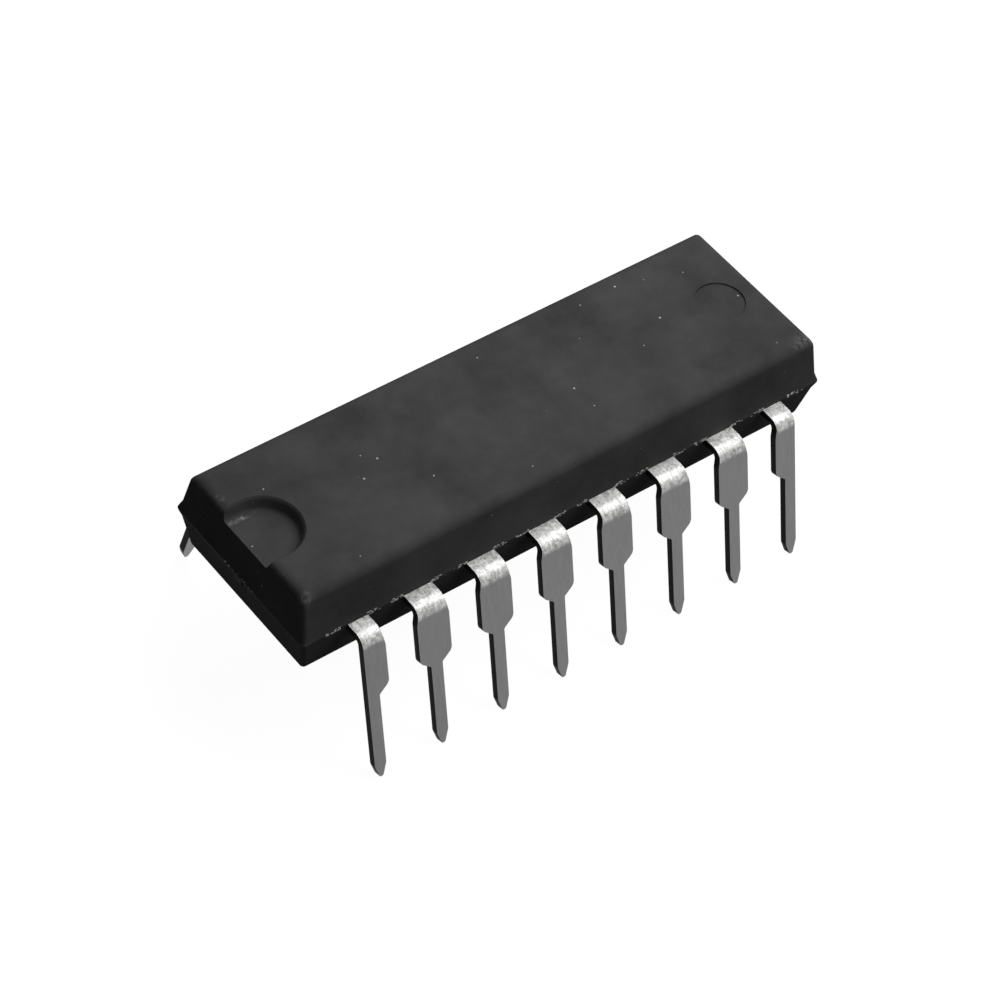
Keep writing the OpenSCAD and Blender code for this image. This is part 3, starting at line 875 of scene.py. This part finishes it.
@dataclass
class FormedLeads:
    """The sixteen leads, with the soft edges that stamping and plating leave.

    Sizes are in millimetres and angles in degrees. A face counts as cut by the die, and is
    coloured dark, partly as bare metal and partly as a painted dark reflection, where more
    than the cut threshold of its normal lies in the strip's plane. A rounded edge counts as
    outer, and is coloured lighter as a painted highlight, where more than outer_from of it
    points up or away from the body.
    """

    flat_deg: float = 0.5
    edge_deg: float = 38.0
    sharp_deg: float = 32.0
    edge_r: float = 0.03
    edge_segments: int = 2
    sheared_dark_reflection_from: float = 0.8
    outer_from: float = 0.35
    splay_deg: float = 14.5
    leg_top_z: float = 5.2

    def build(self, material: bpy.types.Material) -> list[bpy.types.Object]:
        """Models each lead from its CAD node and puts it in the node's place.

        Args:
            material: The tin plate.

        Returns:
            The leads.
        """
        leads = []
        for number in range(1, LEAD_COUNT + 1):
            node = f"lead_{number:02d}"
            mesh = merged_copy(node)
            bmesh.ops.dissolve_limit(mesh, angle_limit=math.radians(self.flat_deg),
                                     verts=mesh.verts, edges=mesh.edges)
            edges = [e for e in mesh.edges
                     if e.calc_face_angle(0.0) > math.radians(self.edge_deg)]
            rounds = bmesh.ops.bevel(mesh, geom=edges, offset=self.edge_r * MM,
                                     offset_type="OFFSET", segments=self.edge_segments,
                                     profile=0.5, affect="EDGES", clamp_overlap=True,
                                     material=-1)["faces"]
            side = 1.0 if number > LEADS_PER_ROW else -1.0
            # Marks the rounded edges that the material lightens as a painted highlight.
            self.mark_arris_highlights(mesh, rounds, side)
            # Marks the faces that the material darkens: partly bare cut metal, partly painted dark
            # reflection.
            self.mark_sheared_dark_reflection(mesh, side)
            drop_slivers(mesh)
            lead = finish_object(f"{node}_plated", mesh, material,
                                 self.sharp_deg)
            flatten_shading(lead)
            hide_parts(node)
            leads.append(lead)
            LOG.info("%s: %d faces", lead.name, len(lead.data.polygons))
        return leads

    def mark_arris_highlights(self, mesh: bmesh.types.BMesh, rounds: list[bmesh.types.BMFace],
                     side: float) -> None:
        """Marks the rounded edges on the outer face, which the material lightens as a painted
        highlight.

        Args:
            mesh: The lead.
            rounds: The faces of its rounded edges.
            side: -1 on the near row, 1 on the far row.
        """
        layer = mesh.faces.layers.float.new("arris_highlight")
        for face in rounds:
            outwards = max(side * face.normal.y, face.normal.z) if face.is_valid else 0.0
            if outwards > self.outer_from:
                face[layer] = 1.0

    def mark_sheared_dark_reflection(self, mesh: bmesh.types.BMesh, side: float) -> None:
        """Marks the side and cut faces, which the material darkens: partly bare metal where the die
        cut it, partly a painted dark reflection.

        Args:
            mesh: The lead.
            side: -1 on the near row, 1 on the far row.
        """
        layer = mesh.faces.layers.float.new("sheared_dark_reflection")
        lean = math.radians(self.splay_deg)
        down = Vector((0.0, side * math.sin(lean), -math.cos(lean)))
        for face in mesh.faces:
            in_plane = abs(face.normal.x)
            if face.calc_center_median().z < self.leg_top_z * MM:
                in_plane = math.hypot(in_plane, face.normal.dot(down))
            face[layer] = 1.0 if in_plane > self.sheared_dark_reflection_from else 0.0


@dataclass
class PartingFlash:
    """Crumbs of resin flash that cling to the parting line by the leads and tie bars.

    Sizes are in millimetres. The scales compare a crumb with those at the leads, off_line
    is in scatters, and sunk, squat, stretch and height are shares of a crumb's own size.
    """

    per_side: int = 16
    between: int = 4
    per_end: int = 14
    reach: float = 0.5
    end_reach: float = 0.9
    scatter: float = 0.075
    smallest: float = 0.016
    largest: float = 0.055
    pitch: float = 2.54
    exit_half: float = 0.56
    bunching: float = 1.6
    between_scale: float = 0.55
    end_scale: float = 0.6
    off_line: Span = (-0.5, 1.0)
    sunk: float = 0.25
    squat: float = 0.55
    stretch: Span = (0.8, 2.0)
    height: Span = (0.5, 1.0)
    seed: int = 11

    def build(self, body: MouldedBody, material: bpy.types.Material) -> bpy.types.Object:
        """Scatters the crumbs along both long sides and at the tie bars.

        Args:
            body: The moulded body that they cling to.
            material: The flash's finish.

        Returns:
            All crumbs as one piece.
        """
        draw = random.Random(self.seed)
        mesh = bmesh.new()
        middle = (LEADS_PER_ROW - 1) / 2
        for side in (-1.0, 1.0):
            out = Vector((0.0, side, 0.0))
            for column in range(LEADS_PER_ROW):
                lead_x = (column - middle) * self.pitch
                for way in (-1.0, 1.0):
                    for _ in range(self.per_side):
                        gap = self.reach * draw.random() ** self.bunching
                        x = lead_x + way * (self.exit_half + gap)
                        self.crumb(mesh, draw, body, x, out, 1.0)
                for _ in range(self.between):
                    x = lead_x + (draw.random() - 0.5) * self.pitch
                    if abs(x - lead_x) > self.exit_half:
                        self.crumb(mesh, draw, body, x, out, self.between_scale)
            for _ in range(self.per_end):
                self.crumb(mesh, draw, body, draw.uniform(-self.end_reach, self.end_reach),
                           Vector((side, 0.0, 0.0)), self.end_scale)
        piece = finish_object("resin_flash", mesh, material)
        LOG.info("resin_flash: %d faces", len(piece.data.polygons))
        return piece

    def crumb(self, mesh: bmesh.types.BMesh, draw: random.Random, body: MouldedBody, along: float,
              out: Vector, scale: float) -> None:
        """Adds one crumb on the parting line.

        Args:
            mesh: The mesh to add it to.
            draw: The source of chance.
            body: The moulded body that it clings to.
            along: Its place along the side or end.
            out: The outward direction of that side or end.
            scale: Its size, where a crumb at a lead has 1.
        """
        size = draw.uniform(self.smallest, self.largest) * scale
        off = draw.uniform(*self.off_line) * self.scatter * scale
        slope = body.rim_out / body.rim_h
        face = body.high.x if out.x else body.high.y
        run = Vector((abs(out.y), abs(out.x), 0.0))
        place = (out * (face - slope * abs(off) - self.sunk * size) + run * along
                 + Vector((0.0, 0.0, body.parting_z + off)))
        turn = Euler([draw.uniform(0, math.tau) for _ in range(3)]).to_matrix().to_4x4()
        made = bmesh.ops.create_icosphere(mesh, subdivisions=1, radius=size * MM, matrix=turn)
        outward = Vector((abs(out.x), abs(out.y), 0.0))
        flatten = run * draw.uniform(*self.stretch) + self.squat * outward
        flatten.z = draw.uniform(*self.height)
        bmesh.ops.scale(mesh, vec=flatten, verts=made["verts"])
        bmesh.ops.translate(mesh, vec=place * MM, verts=made["verts"])


@dataclass
class SealedPieces:
    """The pieces that the moulding hides: paddle, paste, die and bond wires."""

    finishes: tuple[tuple[str, PlainFinish], ...] = (
        ("die_paddle", FRAME_STRIP), ("die_attach", DIE_ATTACH), ("silicon_die", SILICON))

    def build(self) -> None:
        """Gives each sealed CAD node its finish."""
        for node, finish in self.finishes:
            self.dress(node, finish.build())
        gold = GOLD_WIRE.build()
        for number in range(1, LEAD_COUNT + 1):
            self.dress(f"bond_wire_{number:02d}", gold)

    def dress(self, node: str, material: bpy.types.Material) -> None:
        """Puts a material on a CAD node.

        Args:
            node: The node's name.
            material: Its finish.
        """
        data = frame["nodes"][node].data
        data.materials.clear()
        data.materials.append(material)
        LOG.info("%s: %s", node, material.name)


@dataclass
class Studio:
    """Floor, lamp, world and camera, none of which belong to the part.

    Lengths are in millimetres and angles in degrees.
    """

    azimuth: float = -43.93
    elevation: float = 47.89
    roll: float = 8.52
    distance: float = 121.8
    focal_px: float = 3630.4
    image_px: float = 1000.0
    sensor: float = 36.0
    target: tuple[float, float, float] = (-0.704, -0.845, 4.0)
    floor_half: float = 3000.0
    key_towards: tuple[float, float, float] = (0.48, -0.03, 0.87)
    key_distance: float = 100.0
    key_length: float = 140.0
    key_width: float = 92.0
    key_radiance: float = 3.75
    ambient: float = 0.13
    floor_albedo: float = 0.07
    floor_glow: float = 0.97

    def build(self) -> None:
        """Sets up the whole studio."""
        self.place_camera()
        self.lay_floor()
        self.light_world()
        self.hang_key()
        bpy.context.scene.view_settings.view_transform = "Standard"

    def axes(self) -> tuple[Vector, Vector, Vector]:
        """Works out which way the camera is turned.

        Returns:
            Its right, up and backward directions.
        """
        azimuth, elevation, roll = (
            math.radians(a) for a in (self.azimuth, self.elevation, self.roll))
        back = Vector((math.sin(azimuth) * math.cos(elevation),
                       -math.cos(azimuth) * math.cos(elevation), math.sin(elevation)))
        right = Vector((0.0, 0.0, 1.0)).cross(back).normalized()
        up = back.cross(right)
        turned = math.cos(roll) * right + math.sin(roll) * up
        return turned, -math.sin(roll) * right + math.cos(roll) * up, back

    def place_camera(self) -> None:
        """Puts the camera where the photograph was taken from."""
        data = bpy.data.cameras.new("photo_camera")
        data.sensor_width = self.sensor
        data.lens = self.focal_px / self.image_px * self.sensor
        data.clip_start = MM
        camera = add_object("photo_camera", data)
        right, up, back = self.axes()
        rotation = Matrix((right, up, back)).transposed().to_4x4()
        place = (Vector(self.target) + back * self.distance) * MM
        camera.matrix_world = Matrix.Translation(place) @ rotation
        bpy.context.scene.camera = camera

    def seen_ray(self, tree: bpy.types.NodeTree) -> bpy.types.NodeSocket:
        """Tells the rays in which the background is seen from those that light the part.

        Args:
            tree: The node tree of the floor or the world.

        Returns:
            A socket with 1 for camera, glossy and transmission rays, and 0 for the rest.
        """
        path = add_node(tree, "ShaderNodeLightPath", {}, {})
        either = add_node(tree, "ShaderNodeMath", {"operation": "MAXIMUM"}, {
            0: path.outputs["Is Camera Ray"], 1: path.outputs["Is Glossy Ray"]})
        seen = add_node(tree, "ShaderNodeMath", {"operation": "MAXIMUM"}, {
            0: either.outputs[0], 1: path.outputs["Is Transmission Ray"]})
        return seen.outputs[0]

    def lay_floor(self) -> None:
        """Lays a pale floor that looks white, with a soft shadow, and is clear from below."""
        mesh = bmesh.new()
        bmesh.ops.create_grid(mesh, x_segments=1, y_segments=1, size=self.floor_half * MM)
        data = to_data("floor", mesh)
        material, tree, _ = new_material("white_paper_floor")
        glow = add_node(tree, "ShaderNodeMath", {"operation": "MULTIPLY"}, {
            0: self.seen_ray(tree), 1: self.floor_glow})
        paper = add_node(tree, "ShaderNodeBsdfDiffuse", {}, {"Color": grey(self.floor_albedo)})
        light = add_node(tree, "ShaderNodeEmission", {}, {"Strength": glow.outputs[0]})
        both = add_node(tree, "ShaderNodeAddShader", {}, {0: paper.outputs[0], 1: light.outputs[0]})
        clear = add_node(tree, "ShaderNodeBsdfTransparent", {}, {})
        beneath = add_node(tree, "ShaderNodeNewGeometry", {}, {})
        close_material(tree, add_node(tree, "ShaderNodeMixShader", {}, {
            0: beneath.outputs["Backfacing"], 1: both.outputs[0], 2: clear.outputs[0]}))
        data.materials.append(material)
        add_object("floor", data)

    def light_world(self) -> None:
        """Gives a dim even fill, and white where the world itself is seen."""
        world = bpy.data.worlds.new("studio")
        bpy.context.scene.world = world
        world.use_nodes = True
        tree = world.node_tree
        tree.nodes.clear()
        strength = add_node(tree, "ShaderNodeMapRange", {}, {
            "Value": self.seen_ray(tree), "To Min": self.ambient, "To Max": 1.0})
        sky = add_node(tree, "ShaderNodeBackground", {}, {
            "Color": grey(1.0), "Strength": strength.outputs["Result"]})
        add_node(tree, "ShaderNodeOutputWorld", {}, {"Surface": sky.outputs[0]})

    def hang_key(self) -> None:
        """Hangs the long soft lamp overhead, where the leads' bends mirror it."""
        towards = Vector(self.key_towards).normalized()
        data = bpy.data.lights.new("key_softbox", "AREA")
        data.shape = "RECTANGLE"
        data.size = self.key_length * MM
        data.size_y = self.key_width * MM
        data.energy = self.key_radiance * math.pi * data.size * data.size_y
        lamp = add_object("key_softbox", data)
        turn = towards.to_track_quat("Z", "Y").to_matrix().to_4x4()
        place = (Vector(self.target) + towards * self.key_distance) * MM
        lamp.matrix_world = Matrix.Translation(place) @ turn


def main() -> None:
    """Builds the studio and every sub-assembly, in order."""
    logging.basicConfig(level=logging.INFO, format="%(message)s")
    Studio().build()
    compound = MouldCompound().build()
    body = MouldedBody()
    body.build(compound)
    PartingFlash().build(body, FLASH_WITH_PAINTED_GLINTS.build())
    FormedLeads().build(TinPlate().build())
    SealedPieces().build()


if __name__ == "__main__":
    main()
